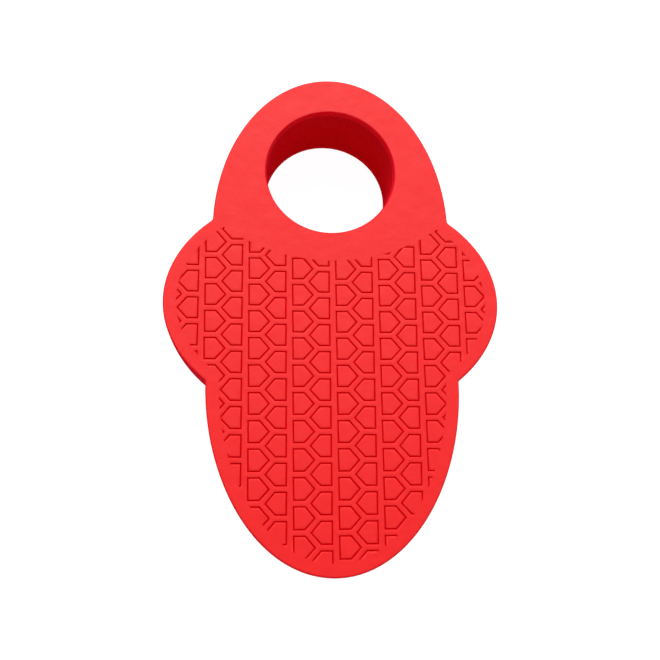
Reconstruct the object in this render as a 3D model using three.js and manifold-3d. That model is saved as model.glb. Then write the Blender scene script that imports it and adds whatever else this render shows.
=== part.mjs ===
// Batting thumb guard: one thick pad of closed-cell foam that lies in the crook of the top hand.
// A round hole near its top takes the thumb, two wings and a tongue spread the bat's sting over the hand,
// and a shallow grip tread is cut into the front face.
// Millimetres. The guard lies on its back: +Z is the treaded front, and +Y runs from the tongue's tip
// to the thumb ring.
import * as THREE from "three";
import { mergeGeometries, mergeVertices } from "three/addons/utils/BufferGeometryUtils.js";
import Module from "manifold-3d";

// Pad: its front edge has a small round, and its wall draws in towards the back in a quarter oval
const THICKNESS = 15.2;
const FRONT_ROUND = 0.3;
const BACK_DRAW_IN = 2.2;
const THUMB_HOLE = { y: 25.2, diameter: 21.7, lipWidth: 0.33, lipDepth: 1.3 };

// The outline is three ovals on one centre line, with a small round in each notch where they meet
const RING = { y: 14.6, halfWidth: 19.85, halfLength: 27.6 };
const WINGS = { y: 2.25, halfWidth: 27.75, halfLength: 20 };
const TONGUE = { y: -11.75, halfWidth: 20.6, halfLength: 30.45 };
const UPPER_NOTCH_ROUND = 0.7;
const LOWER_NOTCH_ROUND = 0.25;

// Grip tread: each groove runs round a five-sided cell, and the cells stand in columns that point
// right and left by turns, so that the points of facing columns reach between each other
const CELL = { width: 3.32, flat: 1.78, height: 3.5 };
const ROW_GAP = 1.03;
const BACK_CHANNEL = 1.14;
const POINT_OVERLAP = 0.6;
const GROOVE = { width: 0.3, depth: 0.2 };
const TREAD_START = { x: 0.1, y: -1.3 };

// The tread stops short of the outline, and sags in an arc below the thumb ring
const TREAD_BORDER = 2.15;
const TREAD_TOP = { y: 9.25, radius: 31 };

// Facets
const FACET_LENGTH = 1.8;
const NOTCH_STEPS = 3;
const WALL_STEPS = 8;
const ROUND_STEPS = 2;

// How far a cutter stands past what it cuts
const SPARE = 2;

// Search for the notch rounds
const NEWTON_STEPS = 30;
const NUDGE = 1e-5;

const ROW_PITCH = CELL.height + ROW_GAP;
const COLUMN_PITCH = 2 * CELL.width + BACK_CHANNEL - POINT_OVERLAP;
const QUARTER = Math.PI / 2;

const wasm = await Module();
wasm.setup();

// Solids

function toSolid(geometry) {
  const bare = geometry.clone();
  bare.deleteAttribute("normal");
  bare.deleteAttribute("uv");
  const merged = mergeVertices(bare);
  const mesh = new wasm.Mesh({
    numProp: 3,
    vertProperties: new Float32Array(merged.attributes.position.array),
    triVerts: new Uint32Array(merged.index.array),
  });
  return new wasm.Manifold(mesh);
}

function toGeometry(solid) {
  const mesh = solid.getMesh();
  const indexed = new THREE.BufferGeometry();
  indexed.setAttribute("position", new THREE.BufferAttribute(mesh.vertProperties, 3));
  indexed.setIndex(new THREE.BufferAttribute(mesh.triVerts, 1));
  const faceted = indexed.toNonIndexed();
  faceted.computeVertexNormals();
  return faceted;
}

// Outline

// A point at an oval's own angle, standing a given distance outside it
function ovalPoint(oval, angle, stand) {
  const across = Math.cos(angle);
  const along = Math.sin(angle);
  const point = new THREE.Vector2(oval.halfWidth * across, oval.y + oval.halfLength * along);
  const outward = new THREE.Vector2(across / oval.halfWidth, along / oval.halfLength).normalize();
  return point.addScaledVector(outward, stand);
}

// The small circle that touches the wings and another oval from outside, on the right-hand side.
// Newton's method closes the distance between the points that stand one radius off each oval,
// from a first guess at the oval's widest point and an eighth of a turn round the wings.
function notchRound(oval, wingsSide, radius) {
  let ovalAngle = 0;
  let wingsAngle = (wingsSide * QUARTER) / 2;
  for (let step = 0; step < NEWTON_STEPS; step += 1) {
    const offOval = ovalPoint(oval, ovalAngle, radius);
    const offWings = ovalPoint(WINGS, wingsAngle, radius);
    const alongOval = ovalPoint(oval, ovalAngle + NUDGE, radius).sub(offOval).divideScalar(NUDGE);
    const alongWings = ovalPoint(WINGS, wingsAngle + NUDGE, radius).sub(offWings).divideScalar(NUDGE);
    const gap = offWings.clone().sub(offOval);
    const spread = alongOval.cross(alongWings);
    ovalAngle += gap.cross(alongWings) / spread;
    wingsAngle += gap.cross(alongOval) / spread;
  }
  const centre = ovalPoint(oval, ovalAngle, radius);
  const towards = (touch) => Math.atan2(touch.y - centre.y, touch.x - centre.x);
  return {
    centre,
    radius,
    ovalAngle,
    wingsAngle,
    fromOval: towards(ovalPoint(oval, ovalAngle, 0)),
    fromWings: towards(ovalPoint(WINGS, wingsAngle, 0)),
  };
}

function ovalArc(oval, start, end) {
  return new THREE.EllipseCurve(0, oval.y, oval.halfWidth, oval.halfLength, start, end, false);
}

function notchArc(notch, start, end, mirror) {
  const { centre, radius } = notch;
  return new THREE.EllipseCurve(mirror * centre.x, centre.y, radius, radius, start, end, true);
}

// The whole outline, from the tongue's tip up the right-hand side and down the left
function outlinePoints() {
  const low = notchRound(TONGUE, -1, LOWER_NOTCH_ROUND);
  const high = notchRound(RING, 1, UPPER_NOTCH_ROUND);
  const arcs = [
    ovalArc(TONGUE, -QUARTER, low.ovalAngle),
    notchArc(low, low.fromOval, low.fromWings, 1),
    ovalArc(WINGS, low.wingsAngle, high.wingsAngle),
    notchArc(high, high.fromWings, high.fromOval, 1),
    ovalArc(RING, high.ovalAngle, Math.PI - high.ovalAngle),
    notchArc(high, Math.PI - high.fromOval, Math.PI - high.fromWings, -1),
    ovalArc(WINGS, Math.PI - high.wingsAngle, Math.PI - low.wingsAngle),
    notchArc(low, Math.PI - low.fromWings, Math.PI - low.fromOval, -1),
    ovalArc(TONGUE, Math.PI - low.ovalAngle, 3 * QUARTER),
  ];
  return arcs.flatMap((arc) => {
    const steps = Math.max(NOTCH_STEPS, Math.ceil(arc.getLength() / FACET_LENGTH));
    return arc.getSpacedPoints(steps).slice(0, -1);
  });
}

// The outline drawn in all round: each point moves along the bisector of the two edges that meet there
function drawnIn(points, inset) {
  const inward = points.map((point, i) => {
    const along = points[(i + 1) % points.length].clone().sub(point).normalize();
    return new THREE.Vector2(-along.y, along.x);
  });
  return points.map((point, i) => {
    const before = inward.at(i - 1);
    const bisector = inward[i].clone().add(before);
    return point.clone().addScaledVector(bisector, inset / (1 + inward[i].dot(before)));
  });
}

// Evenly turned steps of a quarter oval, from its flat end to its upright end
function quarterOval(width, height, steps) {
  return Array.from({ length: steps + 1 }, (_, step) => {
    const turn = (QUARTER * step) / steps;
    return { inset: width * (1 - Math.sin(turn)), rise: height * (1 - Math.cos(turn)) };
  });
}

// Pad

// The body without its hole: rings of the outline, each drawn in by its own inset, joined and capped
function body() {
  const outline = outlinePoints();
  const wall = quarterOval(BACK_DRAW_IN, THICKNESS - FRONT_ROUND, WALL_STEPS);
  const front = quarterOval(FRONT_ROUND, FRONT_ROUND, ROUND_STEPS).reverse().slice(1);
  const levels = [
    ...wall.map(({ inset, rise }) => ({ inset, z: rise })),
    ...front.map(({ inset, rise }) => ({ inset, z: THICKNESS - rise })),
  ];
  const count = outline.length;
  const rings = levels.map(({ inset }) => drawnIn(outline, inset));
  const positions = rings.flatMap((ring, level) => ring.flatMap(({ x, y }) => [x, y, levels[level].z]));
  const top = count * (levels.length - 1);
  const faces = [];
  for (let start = 0; start < top; start += count) {
    for (let i = 0; i < count; i += 1) {
      const here = start + i;
      const next = start + ((i + 1) % count);
      faces.push(here, next, next + count, here, next + count, here + count);
    }
  }
  for (const [a, b, c] of THREE.ShapeUtils.triangulateShape(rings[0], [])) {
    faces.push(a, c, b);
  }
  for (const [a, b, c] of THREE.ShapeUtils.triangulateShape(rings.at(-1), [])) {
    faces.push(top + a, top + b, top + c);
  }
  const geometry = new THREE.BufferGeometry();
  geometry.setAttribute("position", new THREE.Float32BufferAttribute(positions, 3));
  geometry.setIndex(faces);
  return toSolid(geometry);
}

// The thumb hole's cutter, with a narrow lip that flares out at both faces
function holeCutter() {
  const { y, diameter, lipWidth, lipDepth } = THUMB_HOLE;
  const radius = diameter / 2;
  const lip = quarterOval(lipWidth, lipDepth, ROUND_STEPS);
  const profile = [
    new THREE.Vector2(0, -SPARE),
    new THREE.Vector2(radius + lipWidth, -SPARE),
    ...lip.map(({ inset, rise }) => new THREE.Vector2(radius + inset, rise)),
    ...[...lip].reverse().map(({ inset, rise }) => new THREE.Vector2(radius + inset, THICKNESS - rise)),
    new THREE.Vector2(radius + lipWidth, THICKNESS + SPARE),
    new THREE.Vector2(0, THICKNESS + SPARE),
  ];
  const sides = Math.ceil((2 * Math.PI * radius) / FACET_LENGTH);
  return toSolid(new THREE.LatheGeometry(profile, sides).rotateX(QUARTER).translate(0, y, 0));
}

// Grip tread

// The cell's five corners, grown by a margin, with its back edge on x = 0 and its point to the right
function cellCorners(margin) {
  const half = CELL.height / 2;
  const lean = Math.atan2(half, CELL.width - CELL.flat);
  const flatEnd = CELL.flat + margin * Math.tan(lean / 2);
  const tip = CELL.width + margin / Math.sin(lean);
  return [
    new THREE.Vector2(-margin, -half - margin),
    new THREE.Vector2(flatEnd, -half - margin),
    new THREE.Vector2(tip, 0),
    new THREE.Vector2(flatEnd, half + margin),
    new THREE.Vector2(-margin, half + margin),
  ];
}

function cellGroove() {
  const ring = new THREE.Shape(cellCorners(GROOVE.width / 2));
  ring.holes.push(new THREE.Path(cellCorners(-GROOVE.width / 2)));
  return new THREE.ExtrudeGeometry(ring, { depth: GROOVE.depth + SPARE, bevelEnabled: false });
}

// Every groove of the tread, as far as the wings and the tongue can reach
function treadGrooves() {
  const columns = Math.ceil(WINGS.halfWidth / COLUMN_PITCH);
  const rows = Math.ceil((TONGUE.halfLength - TONGUE.y) / ROW_PITCH);
  const rightCell = cellGroove().translate(BACK_CHANNEL / 2, 0, 0);
  const leftCell = rightCell.clone().rotateZ(Math.PI).translate(0, ROW_PITCH / 2, 0);
  const cells = [];
  for (let column = -columns; column <= columns; column += 1) {
    for (let row = -rows; row <= rows; row += 1) {
      const x = TREAD_START.x + column * COLUMN_PITCH;
      const y = TREAD_START.y + row * ROW_PITCH;
      for (const cell of [rightCell, leftCell]) {
        cells.push(cell.clone().translate(x, y, THICKNESS - GROOVE.depth));
      }
    }
  }
  return toSolid(mergeGeometries(cells));
}

// The field that the tread fills: the outline drawn in by the border, less the disc that its sagging
// top edge follows
function treadField() {
  const inner = new THREE.ExtrudeGeometry(new THREE.Shape(outlinePoints()), {
    depth: THICKNESS,
    bevelThickness: SPARE,
    bevelSize: 0,
    bevelOffset: -TREAD_BORDER,
    bevelSegments: 1,
  });
  const { y, radius } = TREAD_TOP;
  const sides = Math.ceil((2 * Math.PI * radius) / FACET_LENGTH);
  const disc = new THREE.CylinderGeometry(radius, radius, 2 * (THICKNESS + SPARE), sides);
  return toSolid(inner).subtract(toSolid(disc.rotateX(QUARTER).translate(0, y + radius, 0)));
}

const foam = new THREE.MeshStandardMaterial({ color: 0xf2383a, roughness: 0.85, metalness: 0 });

const tread = treadGrooves().intersect(treadField());
const guardPad = new THREE.Mesh(toGeometry(body().subtract(holeCutter()).subtract(tread)), foam);
guardPad.name = "guard_pad";

const guard = new THREE.Group();
guard.add(guardPad);

export default guard;
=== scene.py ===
"""Batting thumb guard: one thick pad of red closed-cell foam with a thumb hole and a shallow grip tread.

The pad is modelled at its real size, in metres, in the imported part's own frame: it lies on its back,
+Z is the treaded front, and +Y runs from the tongue's tip to the thumb ring.
"""

import math

import bmesh
import bpy
from bpy.props import FloatProperty, FloatVectorProperty, PointerProperty
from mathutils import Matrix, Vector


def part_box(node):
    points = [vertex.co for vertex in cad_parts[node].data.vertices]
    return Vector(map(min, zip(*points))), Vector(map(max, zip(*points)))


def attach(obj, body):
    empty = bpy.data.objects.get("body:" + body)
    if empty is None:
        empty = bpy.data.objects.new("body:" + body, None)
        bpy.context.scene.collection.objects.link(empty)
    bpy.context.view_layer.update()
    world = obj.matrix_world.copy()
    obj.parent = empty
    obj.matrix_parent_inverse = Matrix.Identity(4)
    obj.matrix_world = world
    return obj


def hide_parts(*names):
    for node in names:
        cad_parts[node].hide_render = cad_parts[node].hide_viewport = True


bl_info = {
    "name": "Batting Thumb Guard",
    "version": (1, 0, 0),
    "blender": (4, 5, 0),
    "location": "View3D > Sidebar > Thumb Guard",
    "description": "Models a foam batting thumb guard with its grip tread, finish and stage",
    "category": "Add Mesh",
}

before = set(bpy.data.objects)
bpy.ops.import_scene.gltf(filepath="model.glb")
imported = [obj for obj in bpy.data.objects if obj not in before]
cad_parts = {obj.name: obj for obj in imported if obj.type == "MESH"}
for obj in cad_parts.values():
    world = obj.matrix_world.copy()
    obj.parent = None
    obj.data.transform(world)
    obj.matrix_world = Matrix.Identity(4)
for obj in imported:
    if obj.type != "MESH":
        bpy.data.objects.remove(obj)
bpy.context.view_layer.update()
PAD_LOW, PAD_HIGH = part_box("guard_pad")

PIECE_NAME = "foam_guard"
SKIN_FINISH = "foam_skin"
EDGE_FINISH = "skin_edge"
CUT_FINISH = "cut_foam"
# The grooves' finish is a darker red: painted shade in the grooves
GROOVE_SHADE_FINISH = "pressed_foam"

# Fineness of the mesh
OVAL_SIDES = 288
HOLE_SIDES = 144
WALL_STEPS = 14
ROUND_STEPS = 8
NOTCH_STEPS = 4
LIP_STEPS = 4
FLAT_ANGLE = math.radians(0.05)
SMOOTH_ANGLE = math.radians(32)

# How strongly large faces draw the shading, in the modifier's own scale of 1 to 100
LARGE_FACE_WEIGHT = 100

# How many finer layers the foam's noises have, and how strong those of the patches are
PATCH_DETAIL = 4
PATCH_ROUGHNESS = 0.62
RIPPLE_DETAIL = 3

# How far red, green and blue light pass under the foam's surface, as shares of the reach of its glow
GLOW_SHARES = (1, 0.1, 0.15)

# How far from a foam cell's middle, in cell widths, its pore's shade starts and is full
PORE_START = 0.25
PORE_END = 0.65

# How far round the front edge the moulded skin ends, counted from the belt
SKIN_TURN = math.radians(45)

# How nearly a face looks straight up or down to count as the front or the back
FACING = 0.99

# How nearly an edge points straight up to count as upright
UPRIGHT = 0.999

# Beside each notch the outline keeps one long facet, so that the notch's round has room
NOTCH_ROOM = 0.0011
NOTCH_TURN = math.radians(30)

# How far a cutter stands past what it cuts
SPARE = 0.002

# How many groove depths the tread's field reaches below and above the face
FIELD_REACH = 2

# How far the floor lies below the pad's back, and how near the camera still sees
FLOOR_GAP = 0.00002
CAMERA_NEAR = 0.01


# Properties


def length(name, description, default):
    """A size or place in metres."""
    return FloatProperty(
        name=name, description=description, default=default, unit="LENGTH", subtype="DISTANCE", precision=5
    )


def share(name, description, default):
    """A number from 0 to 1."""
    return FloatProperty(
        name=name, description=description, default=default, min=0, max=1, subtype="FACTOR"
    )


def colour(name, description, default):
    """A linear colour."""
    return FloatVectorProperty(
        name=name, description=description, default=default, size=3, min=0, max=1, subtype="COLOR"
    )


class GuardPadSizes(bpy.types.PropertyGroup):
    """The pad's outline is three ovals on one centre line, with a small round in each notch between them"""

    ring_y: length("Ring centre", "Place of the thumb ring's oval along the guard", 0.0146)
    ring_half_width: length("Ring half width", "Half the width of the thumb ring's oval", 0.01985)
    wings_y: length("Wings centre", "Place of the wings' oval along the guard", 0.00225)
    wings_half_length: length("Wings half length", "Half the length of the wings' oval", 0.02)
    tongue_y: length("Tongue centre", "Place of the tongue's oval along the guard", -0.01175)
    tongue_half_width: length("Tongue half width", "Half the width of the tongue's oval", 0.0206)
    hole_y: length("Thumb hole centre", "Place of the thumb hole along the guard", 0.0252)
    hole_diameter: length("Thumb hole diameter", "Width of the thumb hole", 0.0217)
    lip_width: length("Hole lip width", "How far the thumb hole flares out at each face", 0.00033)
    lip_depth: length("Hole lip depth", "Depth of the flare at each end of the thumb hole", 0.0013)
    front_round: length("Front round", "Radius of the front face's rounded edge", 0.0003)
    belt_height: length("Belt height", "Height of the upright belt below the front round", 0.0001)
    back_draw_in: length("Back draw-in", "How far the wall draws in from its belt to the back", 0.0022)
    upper_notch_round: length("Upper notch round", "Radius where the ring meets the wings", 0.0007)
    lower_notch_round: length("Lower notch round", "Radius where the wings meet the tongue", 0.00025)


class GuardTreadSizes(bpy.types.PropertyGroup):
    """The tread is a groove round each of many five-sided cells, which point right and left by turns"""

    cell_width: length("Cell width", "From a cell's back edge to its point", 0.00332)
    cell_flat: length("Cell flat", "Straight part of a cell's upper and lower edges", 0.00178)
    cell_height: length("Cell height", "Height of a cell's back edge", 0.0035)
    row_gap: length("Row gap", "Gap between the cells of one column", 0.00103)
    back_channel: length("Back channel", "Gap between the backs of two columns", 0.00114)
    point_overlap: length("Point overlap", "How far the points of facing columns pass each other", 0.0006)
    start_x: length("Start across", "Place of the tread's middle channel across the guard", 0.0001)
    start_y: length("Start along", "Place of the tread's first row along the guard", -0.0013)
    mouth_width: length("Groove mouth", "Width of a groove over its softened lips", 0.00084)
    throat_width: length("Groove throat", "Width of a groove below its softened lips", 0.00022)
    floor_width: length("Groove floor", "Width of a groove's flat floor", 0.0001)
    lip_depth: length("Groove lip", "Depth of a groove's softened lips", 0.000045)
    depth: length("Groove depth", "Depth of a groove", 0.0002)
    run_out: length("Groove run-out", "How far the grooves slope up at the tread's edge", 0.0003)
    border: length("Plain border", "Width of the plain border round the tread", 0.00215)
    top_y: length("Tread top", "Where the tread's sagging top edge crosses the centre line", 0.00925)
    top_radius: length("Tread top radius", "Radius of the tread's sagging top edge", 0.031)


class GuardFoamLook(bpy.types.PropertyGroup):
    """The foam has a smooth skin, whose own edge shows round the hole, and cut walls; its grooves wear a
    darker red that is painted shade
    """

    skin: colour("Skin red", "Colour of the moulded skin", (0.99, 0.0028, 0.0046))
    skin_roughness: share("Skin roughness", "Mean roughness of the moulded skin", 0.58)
    skin_gloss: share("Skin gloss", "Strength of the moulded skin's reflections", 0.42)
    skin_pores: share("Skin pores", "How much darker the moulded skin's pores are", 0.02)
    edge: colour("Edge red", "Colour of the skin's edge round the thumb hole", (0.99, 0.005, 0.022))
    edge_roughness: share("Edge roughness", "Mean roughness of the skin's edge", 0.7)
    edge_gloss: share("Edge gloss", "Strength of the skin edge's reflections", 0.15)
    edge_pores: share("Edge pores", "How much darker the skin edge's pores are", 0.05)
    cut: colour("Cut red", "Colour of the cut foam", (0.86, 0.007, 0.019))
    cut_roughness: share("Cut roughness", "Mean roughness of the cut foam", 0.9)
    cut_gloss: share("Cut gloss", "Strength of the cut foam's reflections", 0)
    cut_pores: share("Cut pores", "How much darker the cut foam's pores are", 0.25)
    # The grooves' darker red is painted shade: it stands in for the shade that falls in them
    pressed: colour("Painted groove shade", "Darker red painted in the grooves as their shade", (0.78, 0.002, 0.006))
    groove_shade_roughness: share("Groove shade roughness", "Mean roughness of the grooves' painted shade", 0.9)
    groove_shade_gloss: share("Groove shade gloss", "Strength of the reflections of the grooves' painted shade", 0)
    groove_shade_pores: share("Groove shade pores", "How much darker the pores in the grooves' painted shade are", 0.03)
    glow_reach: length("Glow reach", "How far red light passes under the foam's surface", 0.001)
    patch_size: length("Patch size", "Width of the cloudy patches in the colour", 0.0032)
    patch_shade: share("Patch shade", "How much darker the densest patches are", 0.045)
    sheen_spread: share("Sheen spread", "How far the patches' roughness strays from its mean", 0.07)
    ripple_size: length("Ripple size", "Width of the face's faint ripples", 0.0021)
    ripple_height: length("Ripple height", "Height of the face's faint ripples", 0.000085)
    cell_size: length("Foam cell size", "Width of the fine foam cells", 0.00022)
    cell_height: length("Foam cell height", "Height of the fine foam cells", 0.000006)


class GuardStageLook(bpy.types.PropertyGroup):
    """Camera, floor and light"""

    camera_place: FloatVectorProperty(
        name="Camera place", description="Where the camera stands", default=(-0.01342, -0.04174, 0.17233),
        unit="LENGTH", subtype="TRANSLATION", precision=5,
    )
    camera_turn: FloatVectorProperty(
        name="Camera turn", description="How the camera is turned",
        default=[math.radians(angle) for angle in (13.97, -4.54, -0.74)], unit="ROTATION", subtype="EULER",
    )
    camera_lens: FloatProperty(
        name="Camera lens", description="Focal length", default=54.08, unit="CAMERA",
    )
    floor_size: length("Floor size", "Width of the floor", 4.0)
    floor_bounce: share("Floor bounce", "Share of the light that the floor sends back to the guard", 0.88)
    floor_shade: share("Floor shade", "How strongly the floor shows light and shadow", 0.3)
    floor_glow: share("Floor glow", "Even white that the floor shows whatever falls on it", 0.96)
    key_place: FloatVectorProperty(
        name="Key light place", description="Where the large soft light hangs", default=(-0.03, 1.49, 1.6),
        unit="LENGTH", subtype="TRANSLATION", size=3,
    )
    key_width: length("Key light width", "Width of the large soft light", 2.0)
    key_height: length("Key light height", "Height of the large soft light", 1.24)
    key_power: FloatProperty(
        name="Key light power", description="Power of the large soft light", default=54.4, min=0,
        unit="POWER",
    )
    fill: FloatProperty(
        name="Fill light", description="Strength of the even light all round", default=0.32, min=0,
    )


# Modelling helpers


def activate(piece):
    """Selects one object alone, in object mode."""
    if bpy.context.object and bpy.context.object.mode != "OBJECT":
        bpy.ops.object.mode_set(mode="OBJECT")
    bpy.ops.object.select_all(action="DESELECT")
    piece.select_set(True)
    bpy.context.view_layer.objects.active = piece


def clear_selection():
    """Leaves object mode ready for a new primitive."""
    if bpy.context.object and bpy.context.object.mode != "OBJECT":
        bpy.ops.object.mode_set(mode="OBJECT")
    bpy.ops.object.select_all(action="DESELECT")


def place_in_mesh(piece):
    """Moves an object's place, turn and scale into its mesh."""
    activate(piece)
    bpy.ops.object.transform_apply(location=True, rotation=True, scale=True)


def edit(piece, mode):
    """Enters edit mode with nothing selected."""
    activate(piece)
    bpy.ops.object.mode_set(mode="EDIT")
    bpy.ops.mesh.select_mode(type=mode)
    bpy.ops.mesh.select_all(action="DESELECT")


def pick(piece, kind, wanted):
    """Selects only those vertices, edges or faces of the edited mesh that are wanted, and counts them."""
    bpy.ops.mesh.select_all(action="DESELECT")
    mesh = bmesh.from_edit_mesh(piece.data)
    picked = [item for item in getattr(mesh, kind) if wanted(item)]
    for item in picked:
        item.select_set(True)
    mesh.select_flush_mode()
    bmesh.update_edit_mesh(piece.data)
    return len(picked)


def pick_end(piece, side):
    """Selects the face at the front of a slab, or at its back if side is -1."""
    if not pick(piece, "faces", lambda face: side * face.normal.z > FACING):
        raise RuntimeError(f"{piece.name} has no end on side {side}")


def apply_modifier(piece, kind, **settings):
    """Adds one modifier, sets it and applies it."""
    activate(piece)
    bpy.ops.object.modifier_add(type=kind)
    modifier = piece.modifiers[-1]
    for name, value in settings.items():
        setattr(modifier, name, value)
    bpy.ops.object.modifier_apply(modifier=modifier.name)


def combine(piece, tool, operation):
    """Joins a tool to a piece, or cuts it with the tool, and removes the tool."""
    apply_modifier(
        piece, "BOOLEAN", object=tool, operation=operation, solver="MANIFOLD", material_mode="TRANSFER"
    )
    bpy.data.objects.remove(tool)
    if not piece.data.polygons:
        raise RuntimeError(f"{piece.name} is empty after {operation}")


def finish_with(piece, *finishes):
    """Gives a piece its finishes. All its faces wear the first."""
    piece.data.materials.clear()
    for finish in finishes:
        piece.data.materials.append(bpy.data.materials[finish])


def finish_part(piece, main, other, wears_other):
    """Gives a piece its main finish, and another to some of its faces."""
    finish_with(piece, main, other)
    edit(piece, "FACE")
    pick(piece, "faces", wears_other)
    piece.active_material_index = 1
    bpy.ops.object.material_slot_assign()
    bpy.ops.object.mode_set(mode="OBJECT")


def finish_between(piece, main, bottom, top):
    """Gives a piece its main finish, and the cut foam's to its faces between two heights."""
    finish_part(piece, main, CUT_FINISH, lambda part: bottom < part.calc_center_median().z < top)


def add_slab(half_width, half_length, y, bottom, top, sides, lean=0):
    """An oval slab that stands on the centre line. Its wall leans in by this much at the bottom."""
    clear_selection()
    bpy.ops.mesh.primitive_cylinder_add(
        vertices=sides, radius=1, depth=top - bottom, location=(0, y, (bottom + top) / 2),
        scale=(half_width, half_length, 1), calc_uvs=False,
    )
    slab = bpy.context.object
    place_in_mesh(slab)
    if lean:
        edit(slab, "FACE")
        pick_end(slab, -1)
        shrink = (1 - lean / half_width, 1 - lean / half_length, 1)
        bpy.ops.transform.resize(value=shrink, center_override=(0, y, 0))
        bpy.ops.object.mode_set(mode="OBJECT")
    return slab


def add_outline_slab(pad, border, bottom, top, lean=0):
    """A slab of the three ovals together, drawn in by a border, whose wall may lean in."""
    ring_half_length = PAD_HIGH.y - pad.ring_y
    tongue_half_length = pad.tongue_y - PAD_LOW.y
    wings_half_width = (PAD_HIGH.x - PAD_LOW.x) / 2
    ovals = (
        (wings_half_width, pad.wings_half_length, pad.wings_y),
        (pad.ring_half_width, ring_half_length, pad.ring_y),
        (pad.tongue_half_width, tongue_half_length, pad.tongue_y),
    )
    slabs = [
        add_slab(half_width - border, half_length - border, y, bottom, top, OVAL_SIDES, lean)
        for half_width, half_length, y in ovals
    ]
    for other in slabs[1:]:
        combine(slabs[0], other, "UNION")
    return slabs[0]


# Finish


def add_node(tree, kind, place, **settings):
    """Adds one shader node and sets its own settings."""
    node = tree.nodes.new(kind)
    node.location = place
    for name, value in settings.items():
        setattr(node, name, value)
    return node


def add_grain_group(look):
    """The foam's grain: cloudy patches of colour and roughness, faint ripples, fine cells and pores."""
    tree = bpy.data.node_groups.new("foam_grain", "ShaderNodeTree")
    tree.interface.new_socket("Colour", in_out="INPUT", socket_type="NodeSocketColor")
    tree.interface.new_socket("Roughness", in_out="INPUT", socket_type="NodeSocketFloat")
    tree.interface.new_socket("Pores", in_out="INPUT", socket_type="NodeSocketFloat")
    tree.interface.new_socket("Colour", in_out="OUTPUT", socket_type="NodeSocketColor")
    tree.interface.new_socket("Roughness", in_out="OUTPUT", socket_type="NodeSocketFloat")
    tree.interface.new_socket("Normal", in_out="OUTPUT", socket_type="NodeSocketVector")
    given = add_node(tree, "NodeGroupInput", (-900, 300))
    result = add_node(tree, "NodeGroupOutput", (500, 0))
    place = add_node(tree, "ShaderNodeTexCoord", (-900, 0))

    patches = add_node(tree, "ShaderNodeTexNoise", (-650, 250))
    patches.inputs["Scale"].default_value = 1 / look.patch_size
    patches.inputs["Detail"].default_value = PATCH_DETAIL
    patches.inputs["Roughness"].default_value = PATCH_ROUGHNESS
    tree.links.new(place.outputs["Object"], patches.inputs["Vector"])

    tint = add_node(tree, "ShaderNodeMix", (200, 300), data_type="RGBA", blend_type="MULTIPLY")
    tint.inputs["B"].default_value = (*[1 - look.patch_shade] * 3, 1)
    tree.links.new(patches.outputs["Fac"], tint.inputs["Factor"])
    tree.links.new(given.outputs["Colour"], tint.inputs["A"])

    sheen = add_node(tree, "ShaderNodeMapRange", (-350, 100))
    sheen.inputs["To Min"].default_value = -look.sheen_spread
    sheen.inputs["To Max"].default_value = look.sheen_spread
    tree.links.new(patches.outputs["Fac"], sheen.inputs["Value"])
    roughness = add_node(tree, "ShaderNodeMath", (200, 50), operation="ADD")
    tree.links.new(given.outputs["Roughness"], roughness.inputs[0])
    tree.links.new(sheen.outputs["Result"], roughness.inputs[1])
    tree.links.new(roughness.outputs["Value"], result.inputs["Roughness"])

    ripples = add_node(tree, "ShaderNodeTexNoise", (-650, -150))
    ripples.inputs["Scale"].default_value = 1 / look.ripple_size
    ripples.inputs["Detail"].default_value = RIPPLE_DETAIL
    tree.links.new(place.outputs["Object"], ripples.inputs["Vector"])
    swell = add_node(tree, "ShaderNodeBump", (-350, -150))
    swell.inputs["Distance"].default_value = look.ripple_height
    tree.links.new(ripples.outputs["Fac"], swell.inputs["Height"])

    cells = add_node(tree, "ShaderNodeTexVoronoi", (-650, -400), feature="SMOOTH_F1")
    cells.inputs["Scale"].default_value = 1 / look.cell_size
    tree.links.new(place.outputs["Object"], cells.inputs["Vector"])
    grain = add_node(tree, "ShaderNodeBump", (200, -200))
    grain.inputs["Distance"].default_value = look.cell_height
    tree.links.new(cells.outputs["Distance"], grain.inputs["Height"])
    tree.links.new(swell.outputs["Normal"], grain.inputs["Normal"])
    tree.links.new(grain.outputs["Normal"], result.inputs["Normal"])

    pores = add_node(tree, "ShaderNodeMapRange", (-350, -450))
    pores.inputs["From Min"].default_value = PORE_START
    pores.inputs["From Max"].default_value = PORE_END
    tree.links.new(cells.outputs["Distance"], pores.inputs["Value"])
    tree.links.new(given.outputs["Pores"], pores.inputs["To Max"])
    specks = add_node(tree, "ShaderNodeMix", (350, 300), data_type="RGBA")
    specks.inputs["B"].default_value = (0, 0, 0, 1)
    tree.links.new(pores.outputs["Result"], specks.inputs["Factor"])
    tree.links.new(tint.outputs["Result"], specks.inputs["A"])
    tree.links.new(specks.outputs["Result"], result.inputs["Colour"])
    return tree


def add_foam_material(name, grain_group, glow_reach, tone, roughness, gloss, pores):
    """Matte red foam with the shared grain, which lets some red light through under its surface."""
    material = bpy.data.materials.new(name)
    material.use_nodes = True
    tree = material.node_tree
    tree.nodes.clear()
    output = add_node(tree, "ShaderNodeOutputMaterial", (400, 0))
    foam = add_node(tree, "ShaderNodeBsdfPrincipled", (100, 0))
    foam.inputs["Specular IOR Level"].default_value = gloss
    foam.inputs["Subsurface Weight"].default_value = 1
    foam.inputs["Subsurface Scale"].default_value = glow_reach
    foam.inputs["Subsurface Radius"].default_value = GLOW_SHARES
    grain = add_node(tree, "ShaderNodeGroup", (-150, 0), node_tree=grain_group)
    grain.inputs["Colour"].default_value = (*tone, 1)
    grain.inputs["Roughness"].default_value = roughness
    grain.inputs["Pores"].default_value = pores
    tree.links.new(grain.outputs["Colour"], foam.inputs["Base Color"])
    tree.links.new(grain.outputs["Roughness"], foam.inputs["Roughness"])
    tree.links.new(grain.outputs["Normal"], foam.inputs["Normal"])
    tree.links.new(foam.outputs["BSDF"], output.inputs["Surface"])


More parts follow.
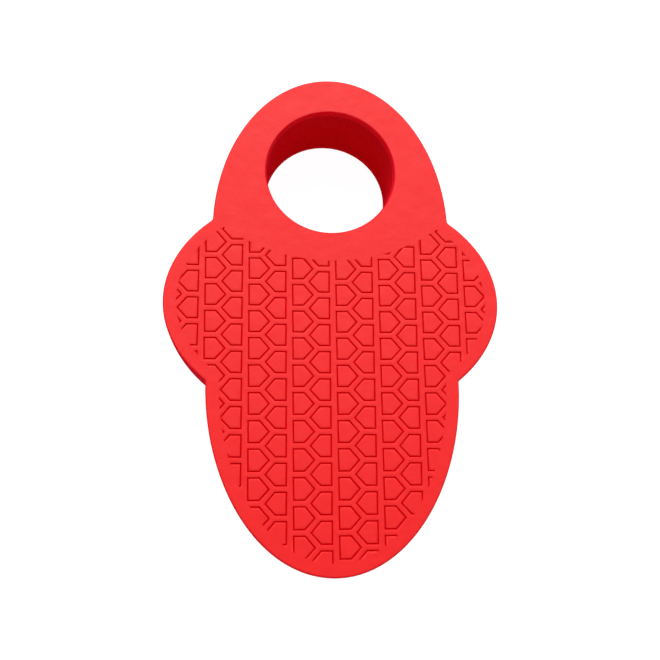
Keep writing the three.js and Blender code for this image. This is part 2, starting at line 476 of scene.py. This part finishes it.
class GUARD_OT_mix_foam(bpy.types.Operator):
    """Make the foam's finishes: its moulded skin, the skin's edge, cut foam, and the darker red painted in
    the grooves as shade
    """

    bl_idname = "guard.mix_foam"
    bl_label = "Mix Foam"
    bl_options = {"REGISTER", "UNDO"}

    def execute(self, context):
        look = context.scene.guard_foam
        grain = add_grain_group(look)
        finishes = (
            (SKIN_FINISH, look.skin, look.skin_roughness, look.skin_gloss, look.skin_pores),
            (EDGE_FINISH, look.edge, look.edge_roughness, look.edge_gloss, look.edge_pores),
            (CUT_FINISH, look.cut, look.cut_roughness, look.cut_gloss, look.cut_pores),
            # The grooves' finish: its darker red is painted shade
            (GROOVE_SHADE_FINISH, look.pressed, look.groove_shade_roughness, look.groove_shade_gloss, look.groove_shade_pores),
        )
        for name, tone, roughness, gloss, pores in finishes:
            add_foam_material(name, grain, look.glow_reach, tone, roughness, gloss, pores)
        return {"FINISHED"}


# Pad


def is_upright(edge):
    """Whether an edge stands straight up."""
    along = edge.verts[1].co - edge.verts[0].co
    return abs(along.z) > UPRIGHT * along.length


def is_notch(edge):
    """Whether an edge is the bottom of a notch in the outline."""
    if not is_upright(edge) or len(edge.link_faces) != 2 or edge.is_convex:
        return False
    return edge.calc_face_angle() > NOTCH_TURN


def round_notches(piece, pad):
    """Rounds the four upright edges where the ovals meet."""
    edit(piece, "FACE")
    bpy.ops.mesh.select_all(action="SELECT")
    bpy.ops.mesh.dissolve_limited(angle_limit=FLAT_ANGLE)
    bpy.ops.mesh.select_mode(type="EDGE")
    mesh = bmesh.from_edit_mesh(piece.data)
    notches = [edge.verts[0].co.xy.copy() for edge in mesh.edges if is_notch(edge)]
    if len(notches) != 4:
        raise RuntimeError(f"the outline has {len(notches)} notches, not 4")

    def crowds_notch(edge):
        near = min((edge.verts[0].co.xy - notch).length for notch in notches)
        return is_upright(edge) and not is_notch(edge) and near < NOTCH_ROOM

    pick(piece, "edges", crowds_notch)
    bpy.ops.mesh.dissolve_edges(use_verts=True)
    for radius, side in ((pad.upper_notch_round, 1), (pad.lower_notch_round, -1)):

        def on_side(edge):
            return is_notch(edge) and side * (edge.verts[0].co.y - pad.wings_y) > 0

        if pick(piece, "edges", on_side) != 2:
            raise RuntimeError("a notch could not be found for its round")
        mesh = bmesh.from_edit_mesh(piece.data)
        turn = next(edge.calc_face_angle() for edge in mesh.edges if edge.select)
        bpy.ops.mesh.bevel(
            offset=radius * math.tan(turn / 2), offset_type="OFFSET", segments=NOTCH_STEPS, affect="EDGES"
        )
    bpy.ops.object.mode_set(mode="OBJECT")


def quarter_oval(width, depth, steps):
    """The sideways and onward steps along a quarter oval that starts upright and ends flat."""
    turns = [math.pi / 2 * step / steps for step in range(steps + 1)]
    places = [(width * (1 - math.cos(turn)), depth * math.sin(turn)) for turn in turns]
    return [(end[0] - start[0], end[1] - start[1]) for start, end in zip(places, places[1:])]


def draw_in(piece, side, width, depth, steps):
    """Carries one end of a slab onwards and draws it in along a quarter oval."""
    edit(piece, "FACE")
    pick_end(piece, side)
    for inset, onwards in quarter_oval(width, depth, steps):
        bpy.ops.mesh.inset(thickness=inset, depth=onwards)
    bpy.ops.object.mode_set(mode="OBJECT")


def add_hole_cutter(pad):
    """The thumb hole's cutter, which flares out at both faces."""
    radius = pad.hole_diameter / 2
    bottom = PAD_LOW.z + pad.lip_depth
    top = PAD_HIGH.z - pad.lip_depth
    cutter = add_slab(radius, radius, pad.hole_y, bottom, top, HOLE_SIDES)
    edit(cutter, "FACE")
    for side in (1, -1):
        pick_end(cutter, side)
        reach = radius
        for flare, onwards in quarter_oval(pad.lip_width, pad.lip_depth, ROUND_STEPS):
            bpy.ops.mesh.extrude_region_move(TRANSFORM_OT_translate={"value": (0, 0, side * onwards)})
            growth = 1 + flare / reach
            reach += flare
            bpy.ops.transform.resize(value=(growth, growth, 1), center_override=(0, pad.hole_y, 0))
        bpy.ops.mesh.extrude_region_move(TRANSFORM_OT_translate={"value": (0, 0, side * SPARE)})
    bpy.ops.object.mode_set(mode="OBJECT")
    return cutter


class GUARD_OT_make_pad(bpy.types.Operator):
    """Model the foam pad with its drawn-in wall and its thumb hole"""

    bl_idname = "guard.make_pad"
    bl_label = "Make Pad"
    bl_options = {"REGISTER", "UNDO"}

    def execute(self, context):
        pad = context.scene.guard_pad
        belt_top = PAD_HIGH.z - pad.front_round
        belt_bottom = belt_top - pad.belt_height
        piece = add_outline_slab(pad, 0, belt_bottom, belt_top)
        piece.name = PIECE_NAME
        piece.data.name = PIECE_NAME
        round_notches(piece, pad)
        draw_in(piece, 1, pad.front_round, pad.front_round, ROUND_STEPS)
        draw_in(piece, -1, pad.back_draw_in, belt_bottom - PAD_LOW.z, WALL_STEPS)
        skin_end = belt_top + pad.front_round * math.sin(SKIN_TURN)
        finish_between(piece, SKIN_FINISH, PAD_LOW.z, skin_end)
        hole = add_hole_cutter(pad)
        finish_between(hole, EDGE_FINISH, PAD_LOW.z + pad.lip_depth, PAD_HIGH.z - pad.lip_depth)
        combine(piece, hole, "DIFFERENCE")
        return {"FINISHED"}


# Tread


def cell_corners(tread, margin):
    """A cell's corners, grown by a margin, with its back edge on x = 0 and its point to the right."""
    half = tread.cell_height / 2
    lean = math.atan2(half, tread.cell_width - tread.cell_flat)
    back = -margin
    flat_end = tread.cell_flat + margin * math.tan(lean / 2)
    tip = tread.cell_width + margin / math.sin(lean)
    return back, flat_end, tip, half + margin


def add_cell_cutter(tread):
    """The solid that cuts one cell's groove: a five-sided ring with softened lips."""
    margin = tread.mouth_width / 2
    back, flat_end, tip, half = cell_corners(tread, margin)
    face = PAD_HIGH.z
    clear_selection()
    bpy.ops.mesh.primitive_plane_add(size=1, location=((back + flat_end) / 2, 0, face), calc_uvs=False)
    cutter = bpy.context.object
    cutter.scale = (flat_end - back, 2 * half, 1)
    place_in_mesh(cutter)

    # The front edge is drawn out to a point
    edit(cutter, "EDGE")
    middle = (back + flat_end) / 2
    pick(cutter, "edges", lambda edge: min(vert.co.x for vert in edge.verts) > middle)
    bpy.ops.mesh.subdivide(number_cuts=1)
    bpy.ops.mesh.select_mode(type="VERT")
    pick(cutter, "verts", lambda vert: vert.co.x > middle and abs(vert.co.y) < half / 2)
    bpy.ops.transform.translate(value=(tip - flat_end, 0, 0))

    # The groove is sunk in from its outer lip to its floor and back up to its inner lip
    lip = quarter_oval((tread.mouth_width - tread.throat_width) / 2, tread.lip_depth, LIP_STEPS)
    wall = (tread.throat_width - tread.floor_width) / 2
    wall_depth = tread.depth - tread.lip_depth
    edit(cutter, "FACE")
    bpy.ops.mesh.select_all(action="SELECT")
    steps = (
        *[(inset, -rise) for inset, rise in reversed(lip)],
        (wall, -wall_depth),
        (tread.floor_width, 0),
        (wall, wall_depth),
        *lip,
    )
    for inset, rise in steps:
        bpy.ops.mesh.inset(thickness=inset, depth=rise)
    bpy.ops.mesh.delete(type="ONLY_FACE")

    # The skin rolls over the lips, and from their steep end down the groove wears a darker red, which is
    # painted shade
    skin_end = face - tread.lip_depth + lip[0][1]
    finish_part(cutter, SKIN_FINISH, GROOVE_SHADE_FINISH, lambda part: part.calc_center_median().z < skin_end)

    # Both lips are carried up past the face and closed over
    edit(cutter, "EDGE")
    pick(cutter, "edges", lambda edge: edge.is_boundary)
    bpy.ops.mesh.extrude_edges_move(TRANSFORM_OT_translate={"value": (0, 0, SPARE)})
    bpy.ops.mesh.bridge_edge_loops()
    bpy.ops.mesh.select_all(action="SELECT")
    bpy.ops.mesh.normals_make_consistent(inside=False)
    bpy.ops.object.mode_set(mode="OBJECT")
    return cutter


def add_tread_cutter(tread):
    """Every groove of the tread, in columns that point right and left by turns."""
    row_pitch = tread.cell_height + tread.row_gap
    column_pitch = 2 * tread.cell_width + tread.back_channel - tread.point_overlap
    rows = math.ceil(PAD_HIGH.y / row_pitch)
    columns = math.ceil(PAD_HIGH.x / column_pitch)
    right = add_cell_cutter(tread)
    right.location = (tread.back_channel / 2 - columns * column_pitch, -rows * row_pitch, 0)
    place_in_mesh(right)
    for count, step in ((2 * rows + 1, (0, row_pitch, 0)), (2 * columns + 1, (column_pitch, 0, 0))):
        apply_modifier(
            right, "ARRAY", count=count, use_relative_offset=False, use_constant_offset=True,
            constant_offset_displace=step,
        )
    activate(right)
    bpy.ops.object.duplicate()
    left = bpy.context.object
    left.rotation_euler.z = math.pi
    left.location.y = row_pitch / 2
    place_in_mesh(left)
    left.select_set(True)
    right.select_set(True)
    bpy.context.view_layer.objects.active = right
    bpy.ops.object.join()
    right.location = (tread.start_x, tread.start_y, 0)
    place_in_mesh(right)
    return right


class GUARD_OT_cut_tread(bpy.types.Operator):
    """Cut the grip tread into the front of the pad"""

    bl_idname = "guard.cut_tread"
    bl_label = "Cut Tread"
    bl_options = {"REGISTER", "UNDO"}

    def execute(self, context):
        pad = context.scene.guard_pad
        tread = context.scene.guard_tread
        piece = bpy.data.objects[PIECE_NAME]

        # The field's wall leans, so that the grooves slope up where they end, and at the face it stands
        # on the border and on the sagging top edge
        bottom = PAD_HIGH.z - FIELD_REACH * tread.depth
        top = PAD_HIGH.z + FIELD_REACH * tread.depth
        spread = FIELD_REACH * tread.run_out
        field = add_outline_slab(pad, tread.border - spread, bottom, top, 2 * spread)
        radius = tread.top_radius - spread
        middle = tread.top_y + tread.top_radius
        disc = add_slab(radius, radius, middle, bottom, top, OVAL_SIDES, -2 * spread)
        combine(field, disc, "DIFFERENCE")
        # The field's sloping ends, where the grooves run out, wear the same darker red, painted shade
        finish_with(field, GROOVE_SHADE_FINISH)
        cutter = add_tread_cutter(tread)
        combine(cutter, field, "INTERSECT")
        combine(piece, cutter, "DIFFERENCE")
        return {"FINISHED"}


# Seat


def check_closed(piece):
    """Stops the script if the piece has a gap or a stray face."""
    mesh = bmesh.new()
    mesh.from_mesh(piece.data)
    open_edges = sum(1 for edge in mesh.edges if len(edge.link_faces) != 2)
    volume = mesh.calc_volume(signed=True)
    mesh.free()
    if open_edges or volume <= 0:
        raise RuntimeError(f"{piece.name} has {open_edges} open edges and {volume} cubic metres")


class GUARD_OT_seat_pad(bpy.types.Operator):
    """Smooth the pad and set it in the frame"""

    bl_idname = "guard.seat_pad"
    bl_label = "Seat Pad"
    bl_options = {"REGISTER", "UNDO"}

    def execute(self, context):
        piece = bpy.data.objects[PIECE_NAME]
        activate(piece)
        bpy.ops.object.shade_smooth_by_angle(angle=SMOOTH_ANGLE)
        apply_modifier(piece, "WEIGHTED_NORMAL", weight=LARGE_FACE_WEIGHT, keep_sharp=True)
        check_closed(piece)
        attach(piece, "root")
        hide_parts("guard_pad")
        return {"FINISHED"}


# Stage


def white_floor_material(stage):
    """A white floor. The camera sees it nearly evenly white, and other light meets plain pale paper."""
    material = bpy.data.materials.new("white_floor")
    material.use_nodes = True
    tree = material.node_tree
    tree.nodes.clear()
    output = add_node(tree, "ShaderNodeOutputMaterial", (600, 0))
    choice = add_node(tree, "ShaderNodeMixShader", (400, 0))
    path = add_node(tree, "ShaderNodeLightPath", (150, 300))
    paper = add_node(tree, "ShaderNodeBsdfDiffuse", (150, 0))
    paper.inputs["Color"].default_value = (*[stage.floor_bounce] * 3, 1)
    shown = add_node(tree, "ShaderNodeAddShader", (150, -200))
    shade = add_node(tree, "ShaderNodeBsdfDiffuse", (-100, -150))
    shade.inputs["Color"].default_value = (*[stage.floor_shade] * 3, 1)
    glow = add_node(tree, "ShaderNodeEmission", (-100, -300))
    glow.inputs["Strength"].default_value = stage.floor_glow
    tree.links.new(shade.outputs["BSDF"], shown.inputs[0])
    tree.links.new(glow.outputs["Emission"], shown.inputs[1])
    tree.links.new(path.outputs["Is Camera Ray"], choice.inputs["Fac"])
    tree.links.new(paper.outputs["BSDF"], choice.inputs[1])
    tree.links.new(shown.outputs["Shader"], choice.inputs[2])
    tree.links.new(choice.outputs["Shader"], output.inputs["Surface"])
    return material


def white_world(stage):
    """Even light all round, behind which the camera sees plain white."""
    world = bpy.data.worlds.new("studio")
    world.use_nodes = True
    tree = world.node_tree
    tree.nodes.clear()
    output = add_node(tree, "ShaderNodeOutputWorld", (600, 0))
    choice = add_node(tree, "ShaderNodeMixShader", (400, 0))
    path = add_node(tree, "ShaderNodeLightPath", (150, 300))
    light = add_node(tree, "ShaderNodeBackground", (150, 0))
    light.inputs["Color"].default_value = (1, 1, 1, 1)
    light.inputs["Strength"].default_value = stage.fill
    white = add_node(tree, "ShaderNodeBackground", (150, -200))
    white.inputs["Color"].default_value = (1, 1, 1, 1)
    tree.links.new(path.outputs["Is Camera Ray"], choice.inputs["Fac"])
    tree.links.new(light.outputs["Background"], choice.inputs[1])
    tree.links.new(white.outputs["Background"], choice.inputs[2])
    tree.links.new(choice.outputs["Shader"], output.inputs["Surface"])
    return world


class GUARD_OT_set_stage(bpy.types.Operator):
    """Set the camera, the pale floor and the soft studio light"""

    bl_idname = "guard.set_stage"
    bl_label = "Set Stage"
    bl_options = {"REGISTER", "UNDO"}

    def execute(self, context):
        stage = context.scene.guard_stage
        clear_selection()
        bpy.ops.object.camera_add(location=stage.camera_place, rotation=stage.camera_turn)
        camera = context.object
        camera.data.lens = stage.camera_lens
        camera.data.clip_start = CAMERA_NEAR
        context.scene.camera = camera

        clear_selection()
        bpy.ops.mesh.primitive_plane_add(size=stage.floor_size, location=(0, 0, PAD_LOW.z - FLOOR_GAP))
        floor = context.object
        floor.name = "floor"
        place_in_mesh(floor)
        floor.data.materials.append(white_floor_material(stage))

        clear_selection()
        bpy.ops.object.light_add(type="AREA", location=stage.key_place)
        key = context.object
        key.rotation_euler = stage.key_place.to_track_quat("Z", "Y").to_euler()
        key.name = "soft_key"
        key.data.shape = "RECTANGLE"
        key.data.size = stage.key_width
        key.data.size_y = stage.key_height
        key.data.energy = stage.key_power
        key.visible_camera = False

        context.scene.world = white_world(stage)
        context.scene.view_settings.view_transform = "Standard"
        context.scene.view_settings.look = "None"
        return {"FINISHED"}


class GUARD_PT_sidebar(bpy.types.Panel):
    """Lists the guard's sizes, looks and steps"""

    bl_idname = "GUARD_PT_sidebar"
    bl_label = "Thumb Guard"
    bl_space_type = "VIEW_3D"
    bl_region_type = "UI"
    bl_category = "Thumb Guard"

    def draw(self, context):
        steps = (
            ("guard_stage", "guard.set_stage"),
            ("guard_foam", "guard.mix_foam"),
            ("guard_pad", "guard.make_pad"),
            ("guard_tread", "guard.cut_tread"),
        )
        for group_name, operator_name in steps:
            group = getattr(context.scene, group_name)
            box = self.layout.box()
            for name in group.__annotations__:
                box.prop(group, name)
            box.operator(operator_name)
        self.layout.operator("guard.seat_pad")


GROUPS = {
    "guard_pad": GuardPadSizes,
    "guard_tread": GuardTreadSizes,
    "guard_foam": GuardFoamLook,
    "guard_stage": GuardStageLook,
}
OPERATORS = (
    GUARD_OT_set_stage,
    GUARD_OT_mix_foam,
    GUARD_OT_make_pad,
    GUARD_OT_cut_tread,
    GUARD_OT_seat_pad,
)


def register():
    for name, group in GROUPS.items():
        bpy.utils.register_class(group)
        setattr(bpy.types.Scene, name, PointerProperty(type=group))
    for operator in OPERATORS:
        bpy.utils.register_class(operator)
    bpy.utils.register_class(GUARD_PT_sidebar)


def unregister():
    bpy.utils.unregister_class(GUARD_PT_sidebar)
    for operator in reversed(OPERATORS):
        bpy.utils.unregister_class(operator)
    for name, group in reversed(GROUPS.items()):
        delattr(bpy.types.Scene, name)
        bpy.utils.unregister_class(group)


def main():
    register()
    bpy.ops.guard.set_stage()
    bpy.ops.guard.mix_foam()
    bpy.ops.guard.make_pad()
    bpy.ops.guard.cut_tread()
    bpy.ops.guard.seat_pad()
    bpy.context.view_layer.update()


if __name__ == "__main__":
    main()
